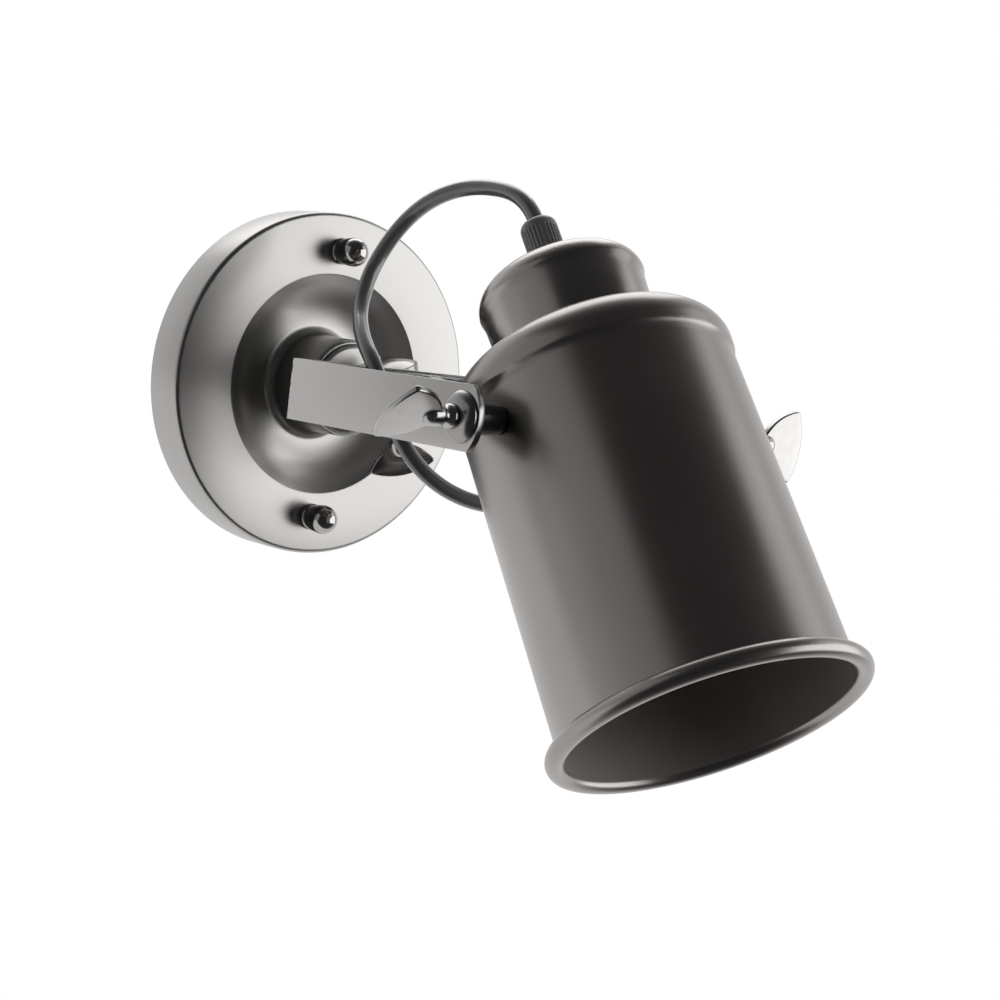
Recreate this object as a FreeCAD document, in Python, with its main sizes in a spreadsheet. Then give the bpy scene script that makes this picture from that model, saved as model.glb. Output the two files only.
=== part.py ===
import FreeCAD, Part
import math
import os
import Sketcher

# Adjustable wall lamp: a round spun cover on the wall, a knuckle joint with a
# thumb screw, a U-shaped strap bracket, and a can-shaped shade that tilts
# between the arms on two thumb screws. A round flex loops from the cord grip
# on top of the shade into the middle of the bracket.
#
# Frame: the origin is on the wall at the middle of the cover. +Z is up, +X is
# to the right, and the lamp stands out from the wall along -Y.
# Lengths are in millimetres, angles in degrees.

document = FreeCAD.newDocument("wall_lamp")
sheet = document.addObject("Spreadsheet::Sheet", "sizes")


# A size and its formula

class Size:
    """A number together with the formula that the document works it out by."""

    def __init__(self, value, formula):
        self.value = value
        self.formula = formula

    def __add__(self, other):
        return joined(self, "+", other)

    def __radd__(self, other):
        return joined(other, "+", self)

    def __sub__(self, other):
        return joined(self, "-", other)

    def __rsub__(self, other):
        return joined(other, "-", self)

    def __mul__(self, other):
        return joined(self, "*", other)

    def __rmul__(self, other):
        return joined(other, "*", self)

    def __truediv__(self, other):
        return joined(self, "/", other)

    def __neg__(self):
        return Size(-self.value, f"(0 - {self.formula})")


def as_size(item):
    return item if isinstance(item, Size) else Size(float(item), repr(float(item)))


def joined(left, sign, right):
    left = as_size(left)
    right = as_size(right)
    results = {
        "+": left.value + right.value,
        "-": left.value - right.value,
        "*": left.value * right.value,
    }
    value = left.value / right.value if sign == "/" else results[sign]
    return Size(value, f"({left.formula} {sign} {right.formula})")


def root(item):
    return Size(math.sqrt(item.value), f"sqrt({item.formula})")


def sine(angle):
    return Size(math.sin(math.radians(angle.value)), f"sin({angle.formula} * 1 deg)")


def cosine(angle):
    return Size(math.cos(math.radians(angle.value)), f"cos({angle.formula} * 1 deg)")


def other_side(longest, side):
    """The third side of a right-angled triangle."""
    return root(longest * longest - side * side)


# Driving dimensions

driving = {
    # Fits
    "running_gap": 0.06,
    "slip_gap": 0.1,
    "seat_gap": 0.02,
    "overrun": 2.0,
    # Wall cover, a spun disc with a dished ring round a raised boss
    "cover_radius": 60.0,
    "cover_depth": 17.0,
    "cover_wall": 1.2,
    "cover_edge_radius": 1.5,
    "dish_radius": 38.6,
    "dish_floor_radius": 24.0,
    "dish_depth": 5.0,
    "flare_radius": 6.6,
    "flare_angle": 87.0,
    "ring_radius": 16.7,
    "ring_step": 1.6,
    "ring_edge_radius": 1.2,
    "ring_groove_depth": 0.9,
    "boss_radius": 14.2,
    "boss_height": 34.0,
    "boss_edge_radius": 0.5,
    # Mounting bar behind the cover
    "bar_length": 110.0,
    "bar_width": 14.0,
    "bar_thickness": 1.6,
    "cable_hole_radius": 5.0,
    "cable_hole_rise": 20.0,
    "wall_slot_spacing": 60.0,
    "wall_slot_width": 4.5,
    "wall_slot_length": 8.0,
    # Studs, nuts and ball nuts that hold the cover to the bar
    "stud_spacing": 93.6,
    "stud_radius": 2.0,
    "stud_length": 22.5,
    "stud_nut_flats": 7.0,
    "stud_nut_height": 3.2,
    "ball_radius": 5.0,
    "ball_rise": 8.2,
    "ball_foot_radius": 4.6,
    "ball_foot_height": 1.7,
    "ball_neck_radius": 4.2,
    "ball_neck_length": 0.4,
    "barrel_curve_radius": 24.0,
    "barrel_length": 5.3,
    "ball_bore_depth": 6.5,
    # Wire terminal and earth screw on the bar
    "terminal_width": 16.0,
    "terminal_length": 24.0,
    "terminal_height": 12.0,
    "terminal_bore_radius": 1.6,
    "earth_screw_radius": 1.9,
    "earth_head_radius": 3.4,
    "earth_head_height": 2.2,
    "earth_screw_drop": 21.0,
    # Knuckle joint between cover and bracket
    "fork_length": 23.0,
    "tongue_length": 20.2,
    "knuckle_lean_angle": 18.0,
    "ear_radius": 10.0,
    "knuckle_half_height": 10.0,
    "knuckle_crown": 2.3,
    "tongue_half_height": 4.0,
    "tongue_face_gap": 0.2,
    "tongue_edge_gap": 0.5,
    "fork_back_wall": 3.0,
    "stem_radius": 6.5,
    "stem_flange_radius": 8.5,
    "stem_flange_height": 2.0,
    "thread_radius": 5.0,
    "wire_bore_radius": 3.0,
    "tongue_neck_length": 1.2,
    "cover_stem_tail": 8.0,
    "stem_nut_flats": 14.0,
    "stem_nut_height": 4.0,
    "stem_washer_radius": 8.3,
    "stem_washer_height": 1.0,
    # U bracket bent from strap
    "strap_width": 19.0,
    "strap_thickness": 2.0,
    "strap_bend_radius": 1.5,
    "arm_reach": 90.1,
    "arm_overhang": 8.2,
    "arm_end_radius": 13.2,
    "cord_bush_radius": 6.5,
    "cord_bush_length": 5.0,
    "cord_bush_lip": 1.2,
    # Thumb screws with their washers and spacers
    "screw_radius": 2.5,
    "cup_radius": 7.6,
    "cup_rim": 0.9,
    "cup_height": 3.2,
    "cup_crown_radius": 3.7,
    "cup_curve_radius": 5.0,
    "collar_radius": 3.6,
    "collar_height": 1.6,
    "hub_neck_radius": 2.6,
    "hub_neck_length": 2.2,
    "hub_root_radius": 3.3,
    "leaf_half_width": 11.7,
    "leaf_thickness": 2.2,
    "leaf_side_radius": 18.0,
    "leaf_corner_drop": 3.0,
    "leaf_edge_radius": 24.0,
    "side_screw_reach": 26.0,
    "knuckle_screw_reach": 18.0,
    "knuckle_cup_height": 1.6,
    "left_leaf_angle": 129.0,
    "right_leaf_angle": 4.0,
    "knuckle_leaf_angle": 20.0,
    "flange_radius": 5.6,
    "flange_height": 1.0,
    "spacer_radius": 4.6,
    "spacer_length": 10.506,
    "pivot_nut_flats": 9.0,
    "pivot_nut_height": 4.0,
    "screw_tail": 1.0,
    # Shade, measured along its own axis from the pivots
    "shade_tilt_angle": 37.0,
    "shade_wall": 1.2,
    "mouth_reach": 94.0,
    "mouth_spread": 1.2,
    "bead_radius": 2.8,
    "neck_radius": 42.6,
    "neck_rise": 10.8,
    "roll_out": 0.9,
    "roll_rise": 13.4,
    "roll_curve_radius": 10.0,
    "roll_in": 8.6,
    "roll_top_rise": 24.8,
    "crown_curve_radius": 60.0,
    "crown_rise": 27.2,
    "holder_hole_radius": 20.2,
    # Cap on the shade
    "cap_wall": 1.0,
    "cap_foot_radius": 24.9,
    "cap_neck_radius": 25.8,
    "cap_neck_rise": 47.0,
    "cap_roll_radius": 26.4,
    "cap_roll_rise": 47.8,
    "cap_roll_curve_radius": 7.5,
    "cap_roll_top_radius": 20.6,
    "cap_roll_top_rise": 54.6,
    "cap_crown_curve_radius": 90.0,
    "cap_top_rise": 56.3,
    "cap_seat_radius": 9.0,
    # Cord grip on the cap
    "grip_seal_radius": 7.2,
    "grip_seal_height": 1.4,
    "grip_nut_radius": 5.9,
    "grip_nut_length": 17.8,
    "grip_nut_edge_radius": 2.6,
    "grip_mouth_radius": 3.2,
    "grip_sleeve_length": 7.0,
    "nipple_inner_radius": 3.2,
    "nipple_in_grip": 8.0,
    "nipple_in_holder": 8.0,
    "cap_nut_height": 3.0,
    # Lampholder inside the cap
    "holder_radius": 19.6,
    "holder_waist_radius": 17.5,
    "holder_top_radius": 9.0,
    "holder_skirt_length": 28.0,
    "holder_length": 48.0,
    "holder_floor_depth": 27.0,
    "holder_bore_radius": 13.9,
    "shell_wall": 0.5,
    "shell_inset": 1.0,
    "shell_length": 23.0,
    "holder_ring_radius": 27.0,
    "holder_ring_height": 7.5,
    "contact_radius": 4.0,
    "contact_height": 1.5,
    # Flex
    "cord_diameter": 5.2,
    "cord_exit_run": 10.5,
    "cord_entry_run": 10.7,
}


class Dimensions:
    """The driving dimensions by name."""


d = Dimensions()
for row, (name, number) in enumerate(driving.items(), start=1):
    sheet.set(f"A{row}", name)
    sheet.set(f"B{row}", str(number))
    sheet.setAlias(f"B{row}", name)
    setattr(d, name, Size(number, f"sizes.{name}"))
document.recompute()

# Proportions chosen by eye
ledge_share = 0.5
root_share = 0.9
arc_share = 0.45
half_circle_share = 1.999


# Places that several pieces share, measured from the wall and from the middle

knuckle_reach = d.boss_height + d.fork_length
web_reach = knuckle_reach + d.tongue_length
pivot_reach = web_reach + d.arm_reach
mouth_radius = d.neck_radius + d.mouth_spread
roll_radius = d.neck_radius + d.roll_out
roll_top_radius = roll_radius - d.roll_in
mouth_flare = (mouth_radius - d.neck_radius) / (d.mouth_reach + d.neck_rise)
shade_at_pivot = d.neck_radius + mouth_flare * d.neck_rise
spacer_start = shade_at_pivot + d.seat_gap
flange_start = spacer_start + d.spacer_length
bracket_half_width = flange_start + d.flange_height + d.strap_thickness


# Building helpers

nodes = {}


def new_body(name):
    body = document.addObject("PartDesign::Body", name)
    body.Label = name
    return body


def flat_sketch(body, role):
    sketch = body.newObject("Sketcher::SketchObject", body.Name + "_sketch")
    plane = [item for item in body.Origin.OriginFeatures if item.Role == role][0]
    sketch.AttachmentSupport = [(plane, "")]
    sketch.MapMode = "FlatFace"
    return sketch


def pin_point(sketch, index, end, across, along):
    """Fix one end of a line or arc, or a circle's centre, by two formulas."""
    for kind, axis, item in (("DistanceX", -2, across), ("DistanceY", -1, along)):
        if item is None:
            continue
        item = as_size(item)
        if item.formula == "0.0":
            sketch.addConstraint(Sketcher.Constraint("PointOnObject", index, end, axis))
        else:
            rule = Sketcher.Constraint(kind, -1, 1, index, end, item.value)
            number = sketch.addConstraint(rule)
            sketch.setExpression(f"Constraints[{number}]", item.formula)


def draw_outline(sketch, corners):
    """Draw a closed outline.

    A corner is (across, along), or (across, along, radius) where an arc leads
    to the next corner: it turns left for a positive radius, right for a
    negative one. A half circle starts and ends at the same height.
    """
    spots = [FreeCAD.Vector(as_size(c[0]).value, as_size(c[1]).value, 0) for c in corners]
    count = len(corners)
    starts = []
    for index, corner in enumerate(corners):
        start = spots[index]
        finish = spots[(index + 1) % count]
        if len(corner) == 2:
            sketch.addGeometry(Part.LineSegment(start, finish), False)
            starts.append(1)
            continue
        radius = abs(corner[2].value)
        left_turn = corner[2].value > 0
        chord = finish - start
        aside = FreeCAD.Vector(-chord.y, chord.x, 0).normalize()
        height = math.sqrt(max(radius * radius - chord.Length * chord.Length / 4, 0))
        centre = (start + finish) / 2 + aside * (height if left_turn else -height)
        first, last = (start, finish) if left_turn else (finish, start)
        circle = Part.Circle(centre, FreeCAD.Vector(0, 0, 1), radius)
        angles = [math.atan2(spot.y - centre.y, spot.x - centre.x) for spot in (first, last)]
        sketch.addGeometry(Part.ArcOfCircle(circle, angles[0], angles[1]), False)
        starts.append(1 if left_turn else 2)
    for index, corner in enumerate(corners):
        follower = (index + 1) % count
        finish = 3 - starts[index]
        rule = Sketcher.Constraint("Coincident", index, finish, follower, starts[follower])
        sketch.addConstraint(rule)
        pin_point(sketch, index, starts[index], corner[0], corner[1])
        if len(corner) == 2:
            continue
        size = corner[2] if corner[2].value > 0 else -corner[2]
        if (spots[follower] - spots[index]).Length > size.value * half_circle_share:
            pin_point(sketch, index, 3, None, corner[1])
            continue
        number = sketch.addConstraint(Sketcher.Constraint("Radius", index, size.value))
        sketch.setExpression(f"Constraints[{number}]", size.formula)


def draw_circles(sketch, centres, radius):
    for index, (across, along) in enumerate(centres):
        middle = FreeCAD.Vector(as_size(across).value, as_size(along).value, 0)
        circle = Part.Circle(middle, FreeCAD.Vector(0, 0, 1), radius.value)
        sketch.addGeometry(circle, False)
        pin_point(sketch, index, 3, across, along)
        number = sketch.addConstraint(Sketcher.Constraint("Radius", index, radius.value))
        sketch.setExpression(f"Constraints[{number}]", radius.formula)


def turn(body, kind, corners, role="XZ_Plane"):
    """Spin an outline of (radius, height) corners round the upright axis of its plane."""
    sketch = flat_sketch(body, role)
    draw_outline(sketch, corners)
    feature = body.newObject("PartDesign::" + kind, body.Name + "_turned")
    feature.Profile = sketch
    feature.ReferenceAxis = (sketch, ["V_Axis"])
    feature.Angle = 360
    document.recompute()
    return body


def spun(name, corners, role="XZ_Plane"):
    return turn(new_body(name), "Revolution", corners, role)


def slab(body, role, corners, depth, centred=True, start=None):
    sketch = flat_sketch(body, role)
    draw_outline(sketch, corners)
    if start is not None:
        lift = FreeCAD.Vector(0, 0, start.value)
        sketch.AttachmentOffset = FreeCAD.Placement(lift, FreeCAD.Rotation())
        sketch.setExpression("AttachmentOffset.Base.z", start.formula)
    feature = body.newObject("PartDesign::Pad", body.Name + "_slab")
    feature.Profile = sketch
    feature.setExpression("Length", depth.formula)
    feature.SideType = "Symmetric" if centred else "One side"
    document.recompute()
    return body


def cut_through(body, role, corners=None, circles=None, radius=None):
    sketch = flat_sketch(body, role)
    if corners:
        draw_outline(sketch, corners)
    else:
        draw_circles(sketch, circles, radius)
    feature = body.newObject("PartDesign::Pocket", body.Name + "_cut")
    feature.Profile = sketch
    feature.Type = "ThroughAll"
    feature.SideType = "Symmetric"
    document.recompute()
    return body


def cut_slot(body, role, corners, depth):
    sketch = flat_sketch(body, role)
    draw_outline(sketch, corners)
    feature = body.newObject("PartDesign::Pocket", body.Name + "_slot")
    feature.Profile = sketch
    feature.Type = "Length"
    feature.SideType = "Symmetric"
    feature.setExpression("Length", depth.formula)
    document.recompute()
    return body


def rectangle(left, right, low, high):
    return [(right, low), (right, high), (left, high), (left, low)]


def hexagon(flats):
    """The six corners of a nut outline, from its width across flats."""
    reach = flats / math.sqrt(3)
    angles = [math.radians(60 * step) for step in range(6)]
    return [(reach * round(math.cos(a), 6), reach * round(math.sin(a), 6)) for a in angles]


def hex_nut(name, flats, low, high, bore):
    """A nut from one height to another."""
    body = slab(new_body(name), "XY_Plane", hexagon(flats), high - low, False, low)
    return cut_through(body, "XY_Plane", circles=[(0, 0)], radius=bore)


def washer(name, inner, outer, low, high):
    return spun(name, [(inner, low), (outer, low), (outer, high), (inner, high)])


def place(piece, across=0, back=0, up=0, axis=(1, 0, 0), angle=None, spin=None):
    """Set a piece down, turned about one axis, after a spin about its own Z."""
    steps = [as_size(item) for item in (across, back, up)]
    position = FreeCAD.Vector(*[step.value for step in steps])
    swing = FreeCAD.Rotation(FreeCAD.Vector(*axis), angle.value)
    if spin is not None:
        swing = swing.multiply(FreeCAD.Rotation(FreeCAD.Vector(0, 0, 1), spin.value))
    piece.Placement = FreeCAD.Placement(position, swing)
    for letter, step in zip("xyz", steps):
        if step.formula != "0.0":
            piece.setExpression(f"Placement.Base.{letter}", step.formula)
    if spin is None:
        piece.setExpression("Placement.Rotation.Angle", angle.formula)
    document.recompute()
    return piece


quarter_turn = Size(90.0, "90")


def on_wall(piece):
    """Stand a piece out from the wall: its own Z becomes the distance from it."""
    return place(piece, angle=quarter_turn)


def on_shade(piece):
    """Lay a piece along the shade's axis: its own Z rises from the pivots."""
    return place(piece, back=-pivot_reach, angle=-d.shade_tilt_angle)


def on_knuckle(piece):
    return place(piece, back=-knuckle_reach, axis=(0, 1, 0), angle=-d.knuckle_lean_angle)


def keep(name, piece):
    piece.Label = name
    nodes[name] = piece
    return piece


def keep_pair(name, piece, normal):
    """Keep a piece and its mirror image as one node of two solids."""
    piece.Label = name + "_one"
    mirrored = document.addObject("Part::Mirroring", name + "_other")
    mirrored.Source = piece
    mirrored.Normal = FreeCAD.Vector(*normal)
    pair = document.addObject("Part::Compound", name + "_pair")
    pair.Links = [piece, mirrored]
    document.recompute()
    return keep(name, pair)


side_to_side = (1, 0, 0)
top_to_bottom = (0, 0, 1)


# Wall cover: spun steel, open at the back, 1.2 mm thick all over

cover_inside = d.cover_radius - d.cover_wall
cover_roof = d.cover_depth - d.cover_wall
dish_floor = d.cover_depth - d.dish_depth
dish_step = d.dish_radius - d.dish_floor_radius
dish_curve = (dish_step * dish_step + d.dish_depth * d.dish_depth) / (d.dish_depth * 2)
dish_curve_inside = dish_curve + d.cover_wall
dish_curve_height = dish_floor + dish_curve
flare_centre = dish_floor + d.flare_radius
flare_inside = d.flare_radius + d.cover_wall
flare_top = (
    d.dish_floor_radius - d.flare_radius * sine(d.flare_angle),
    flare_centre - d.flare_radius * cosine(d.flare_angle),
)
flare_top_inside = (
    d.dish_floor_radius - flare_inside * sine(d.flare_angle),
    flare_centre - flare_inside * cosine(d.flare_angle),
)
boss_roof = d.boss_height - d.cover_wall
ring_height = d.boss_height - d.ring_step
groove_floor = ring_height - d.ring_groove_depth
ring_roof = groove_floor - d.cover_wall
stem_hole = d.thread_radius + d.slip_gap
cover_corners = [
    (d.cover_radius, 0),
    (d.cover_radius, d.cover_depth - d.cover_edge_radius, d.cover_edge_radius),
    (d.cover_radius - d.cover_edge_radius, d.cover_depth),
    (d.dish_radius, d.cover_depth, -dish_curve),
    (d.dish_floor_radius, dish_floor, -d.flare_radius),
    flare_top,
    (d.ring_radius, ring_height - d.ring_edge_radius, d.ring_edge_radius),
    (d.ring_radius - d.ring_edge_radius, ring_height),
    (d.boss_radius, groove_floor),
    (d.boss_radius, d.boss_height - d.boss_edge_radius, d.boss_edge_radius),
    (d.boss_radius - d.boss_edge_radius, d.boss_height),
    (stem_hole, d.boss_height),
    (stem_hole, boss_roof),
    (d.boss_radius - d.cover_wall, boss_roof),
    (d.boss_radius - d.cover_wall, ring_roof),
    (d.ring_radius - d.cover_wall, ring_roof),
    (*flare_top_inside, flare_inside),
    (d.dish_floor_radius, dish_floor - d.cover_wall, dish_curve_inside),
    (d.dish_floor_radius + other_side(dish_curve_inside, dish_curve_height - cover_roof), cover_roof),
    (cover_inside, cover_roof),
    (cover_inside, 0),
]
stud_half_spacing = d.stud_spacing / 2
stud_places = [(0, stud_half_spacing), (0, -stud_half_spacing)]
cover = spun("wall_cover", cover_corners)
cut_through(cover, "XY_Plane", circles=stud_places, radius=d.stud_radius + d.slip_gap)
keep("wall_cover", on_wall(cover))


# Mounting bar: steel strip, screwed to the wall through its two slots

half_bar = d.bar_length / 2
half_bar_width = d.bar_width / 2
half_slot = d.wall_slot_width / 2
slot_run = (d.wall_slot_length - d.wall_slot_width) / 2
bar = new_body("mounting_bar")
bar_ends = rectangle(-half_bar_width, half_bar_width, -half_bar, half_bar)
slab(bar, "XY_Plane", bar_ends, d.bar_thickness, centred=False)
cut_through(bar, "XY_Plane", circles=stud_places, radius=d.stud_radius + d.slip_gap)
cable_hole_places = [(0, d.cable_hole_rise)]
earth_places = [(0, -d.earth_screw_drop)]
cut_through(bar, "XY_Plane", circles=cable_hole_places, radius=d.cable_hole_radius)
cut_through(bar, "XY_Plane", circles=earth_places, radius=d.earth_screw_radius + d.slip_gap)
for side in (1, -1):
    middle = side * d.wall_slot_spacing / 2
    slot = [
        (half_slot, middle - slot_run),
        (half_slot, middle + slot_run, half_slot),
        (-half_slot, middle + slot_run),
        (-half_slot, middle - slot_run, half_slot),
    ]
    cut_through(bar, "XY_Plane", corners=slot)
keep("mounting_bar", on_wall(bar))


# Studs through the bar, their nuts, and the ball nuts on the front of the cover

stud = spun("cover_stud", rectangle(0, d.stud_radius, 0, d.stud_length))
place(stud, up=stud_half_spacing, angle=quarter_turn)
keep_pair("cover_studs", stud, top_to_bottom)

stud_nut = hex_nut(
    "stud_nut",
    d.stud_nut_flats,
    d.bar_thickness,
    d.bar_thickness + d.stud_nut_height,
    d.stud_radius + d.running_gap,
)
place(stud_nut, up=stud_half_spacing, angle=quarter_turn)
keep_pair("stud_nuts", stud_nut, top_to_bottom)

ball_centre = d.cover_depth + d.ball_rise
ball_bore = d.stud_radius + d.running_gap
ball_foot_top = d.cover_depth + d.ball_foot_height
ball_neck_low = ball_foot_top + d.ball_foot_radius - d.ball_neck_radius
barrel_low = ball_centre - d.barrel_length
barrel_sag = d.barrel_curve_radius - other_side(d.barrel_curve_radius, d.barrel_length)
ball_corners = [
    (ball_bore, d.cover_depth),
    (d.ball_foot_radius, d.cover_depth),
    (d.ball_foot_radius, ball_foot_top),
    (d.ball_neck_radius, ball_neck_low),
    (d.ball_neck_radius, ball_neck_low + d.ball_neck_length),
    (d.ball_radius - barrel_sag, barrel_low, d.barrel_curve_radius),
    (d.ball_radius, ball_centre, d.ball_radius),
    (0, ball_centre + d.ball_radius),
    (0, d.cover_depth + d.ball_bore_depth),
    (ball_bore, d.cover_depth + d.ball_bore_depth),
]
ball_nut = spun("ball_nut", ball_corners)
place(ball_nut, up=stud_half_spacing, angle=quarter_turn)
keep_pair("ball_nuts", ball_nut, top_to_bottom)


# Wire terminal and earth screw on the mounting bar

terminal_low = d.bar_thickness
terminal_high = terminal_low + d.terminal_height
half_terminal = d.terminal_width / 2
terminal = new_body("terminal_block")
terminal_face = rectangle(-half_terminal, half_terminal, terminal_low, terminal_high)
slab(terminal, "XZ_Plane", terminal_face, d.terminal_length)
terminal_step = d.terminal_length / 3
terminal_middle = (terminal_low + terminal_high) / 2
wire_places = [(terminal_step * step, terminal_middle) for step in (-1, 0, 1)]
cut_through(terminal, "YZ_Plane", circles=wire_places, radius=d.terminal_bore_radius)
keep("terminal_block", on_wall(terminal))

earth_top = d.bar_thickness + d.earth_head_height
earth_corners = [
    (0, 0),
    (d.earth_screw_radius, 0),
    (d.earth_screw_radius, d.bar_thickness),
    (d.earth_head_radius, d.bar_thickness),
    (d.earth_head_radius, earth_top),
    (0, earth_top),
]
earth_screw = spun("earth_screw", earth_corners)
place(earth_screw, up=-d.earth_screw_drop, angle=quarter_turn)
keep("earth_screw", earth_screw)


# Knuckle joint: a fork on the cover's stem and a tongue on the bracket's stem.
# Own frame: Z along the screw, +Y towards the wall, origin on the hinge.

slot_half_height = d.tongue_half_height + d.tongue_face_gap
fork_inside = d.ear_radius + d.tongue_edge_gap
fork_back = fork_inside + d.fork_back_wall
boss_seat = knuckle_reach - d.boss_height
stem_end = boss_seat + d.cover_stem_tail
screw_bore = d.screw_radius + d.running_gap
thread_outside = d.thread_radius
crown_base = d.ear_radius * root_share
crown_curve = (crown_base * crown_base + d.knuckle_crown * d.knuckle_crown) / (d.knuckle_crown * 2)
fork_plan = [
    (d.ear_radius, 0),
    (d.ear_radius, fork_back),
    (-d.ear_radius, fork_back),
    (-d.ear_radius, 0, d.ear_radius),
]
fork_crown = [
    (0, d.knuckle_half_height),
    (crown_base, d.knuckle_half_height, crown_curve),
    (0, d.knuckle_half_height + d.knuckle_crown),
]
fork_stem = [
    (0, fork_back),
    (d.stem_radius, fork_back),
    (d.stem_radius, boss_seat - d.stem_flange_height),
    (d.stem_flange_radius, boss_seat - d.stem_flange_height),
    (d.stem_flange_radius, boss_seat),
    (thread_outside, boss_seat),
    (thread_outside, stem_end),
    (0, stem_end),
]
screw_well_top = d.knuckle_half_height - d.knuckle_crown / 2
wide = d.ear_radius + d.overrun
fork = new_body("knuckle_fork")
slab(fork, "XY_Plane", fork_plan, d.knuckle_half_height * 2)
turn(fork, "Revolution", fork_crown)
turn(fork, "Revolution", fork_stem, role="XY_Plane")
cut_slot(fork, "XY_Plane", rectangle(-wide, wide, -wide, fork_inside), slot_half_height * 2)
fork_bore = rectangle(0, d.wire_bore_radius, fork_inside - d.overrun, stem_end + d.overrun)
turn(fork, "Groove", fork_bore, role="XY_Plane")
screw_well = rectangle(0, screw_bore, -d.knuckle_half_height - d.overrun, screw_well_top)
turn(fork, "Groove", screw_well)
keep("knuckle_fork", on_knuckle(fork))

nut_low = boss_roof - d.stem_washer_height
stem_washer = washer("stem_washer", stem_hole, d.stem_washer_radius, nut_low, boss_roof)
keep("stem_washer", on_wall(stem_washer))
stem_nut = hex_nut(
    "stem_nut",
    d.stem_nut_flats,
    nut_low - d.stem_nut_height,
    nut_low,
    d.thread_radius + d.running_gap,
)
keep("stem_nut", on_wall(stem_nut))

web_seat = web_reach - knuckle_reach
web_front = web_seat + d.strap_thickness
nut_front = web_front + d.stem_washer_height + d.stem_nut_height
bush_end = nut_front + d.cord_bush_length
tongue_plan = [
    (d.ear_radius, 0, d.ear_radius),
    (-d.ear_radius, 0, d.ear_radius),
]
neck_start = -d.ear_radius * root_share
neck_end = -d.ear_radius - d.tongue_neck_length
neck_radius = d.tongue_half_height - d.tongue_face_gap
tongue_stem = [
    (0, -bush_end + d.cord_bush_lip),
    (thread_outside, -bush_end + d.cord_bush_lip),
    (thread_outside, -web_seat),
    (d.stem_flange_radius, -web_seat),
    (d.stem_flange_radius, -web_seat + d.stem_flange_height),
    (d.stem_radius, -web_seat + d.stem_flange_height),
    (d.stem_radius, neck_end),
    (neck_radius, neck_end),
    (neck_radius, neck_start),
    (0, neck_start),
]
tongue = new_body("knuckle_tongue")
slab(tongue, "XY_Plane", tongue_plan, d.tongue_half_height * 2)
turn(tongue, "Revolution", tongue_stem, role="XY_Plane")
tongue_bore = rectangle(0, d.wire_bore_radius, -bush_end - d.overrun, neck_end)
turn(tongue, "Groove", tongue_bore, role="XY_Plane")
cut_through(tongue, "XY_Plane", circles=[(0, 0)], radius=screw_bore)
keep("knuckle_tongue", on_knuckle(tongue))


# Thumb screws: a turned shank, collar and root with a pressed leaf.
# Own frame: Z outwards from the face that the washer lies on.

def thumb_screw(name, shank, seat, reach):
    neck_low = seat + d.collar_height
    root_low = neck_low + d.hub_neck_length
    root_high = root_low + d.hub_root_radius * 2
    screw = spun(name, [
        (0, -shank),
        (d.screw_radius, -shank),
        (d.screw_radius, seat),
        (d.collar_radius, seat),
        (d.collar_radius, neck_low),
        (d.hub_neck_radius, neck_low + d.collar_radius - d.hub_neck_radius),
        (d.hub_neck_radius, root_low),
        (d.hub_root_radius, root_low + d.hub_root_radius - d.hub_neck_radius),
        (d.hub_root_radius, root_low + d.hub_root_radius, d.hub_root_radius),
        (0, root_high),
    ])
    corner = reach - d.leaf_corner_drop
    leaf = [
        (d.hub_neck_radius, root_low + d.hub_root_radius * ledge_share, d.leaf_side_radius),
        (d.leaf_half_width, corner, d.leaf_edge_radius),
        (-d.leaf_half_width, corner, d.leaf_side_radius),
        (-d.hub_neck_radius, root_low + d.hub_root_radius * ledge_share),
    ]
    return slab(screw, "XZ_Plane", leaf, d.leaf_thickness)


def cup_washer(name, height, curve):
    return spun(name, [
        (screw_bore, 0),
        (d.cup_radius, 0),
        (d.cup_radius, d.cup_rim, curve),
        (d.cup_crown_radius, height),
        (screw_bore, height),
    ])


knuckle_shank = d.knuckle_half_height + screw_well_top - d.seat_gap
knuckle_seat = knuckle_reach
screw_side = Size(180.0, "180") - d.knuckle_lean_angle
seat_across = d.knuckle_half_height * sine(d.knuckle_lean_angle)
seat_up = -d.knuckle_half_height * cosine(d.knuckle_lean_angle)


def under_knuckle(piece, spin=None):
    spin = as_size(0) if spin is None else spin
    return place(piece, seat_across, -knuckle_seat, seat_up, (0, 1, 0), screw_side, spin)


knuckle_screw = thumb_screw(
    "knuckle_screw", knuckle_shank, d.knuckle_cup_height, d.knuckle_screw_reach
)
keep("knuckle_screw", under_knuckle(knuckle_screw, d.knuckle_leaf_angle))
knuckle_cup = cup_washer("knuckle_cup", d.knuckle_cup_height, d.cup_curve_radius * 2)
keep("knuckle_cup", under_knuckle(knuckle_cup))


# U bracket: flat strap bent twice, rounded ends, holes for stem and screws

half_strap = d.strap_width / 2
outer_bend = d.strap_bend_radius + d.strap_thickness
arm_inside = bracket_half_width - d.strap_thickness
arm_end = pivot_reach + d.arm_overhang
web_face = web_reach + d.strap_thickness
bracket_corners = [
    (-bracket_half_width, arm_end),
    (-bracket_half_width, web_reach + outer_bend, outer_bend),
    (-bracket_half_width + outer_bend, web_reach),
    (bracket_half_width - outer_bend, web_reach, outer_bend),
    (bracket_half_width, web_reach + outer_bend),
    (bracket_half_width, arm_end),
    (arm_inside, arm_end),
    (arm_inside, web_face + d.strap_bend_radius, -d.strap_bend_radius),
    (arm_inside - d.strap_bend_radius, web_face),
    (-arm_inside + d.strap_bend_radius, web_face, -d.strap_bend_radius),
    (-arm_inside, web_face + d.strap_bend_radius),
    (-arm_inside, arm_end),
]
bracket = new_body("u_bracket")
slab(bracket, "XZ_Plane", bracket_corners, d.strap_width)
cut_through(bracket, "XY_Plane", circles=[(0, 0)], radius=stem_hole)
pivot_places = [(0, pivot_reach)]
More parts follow.
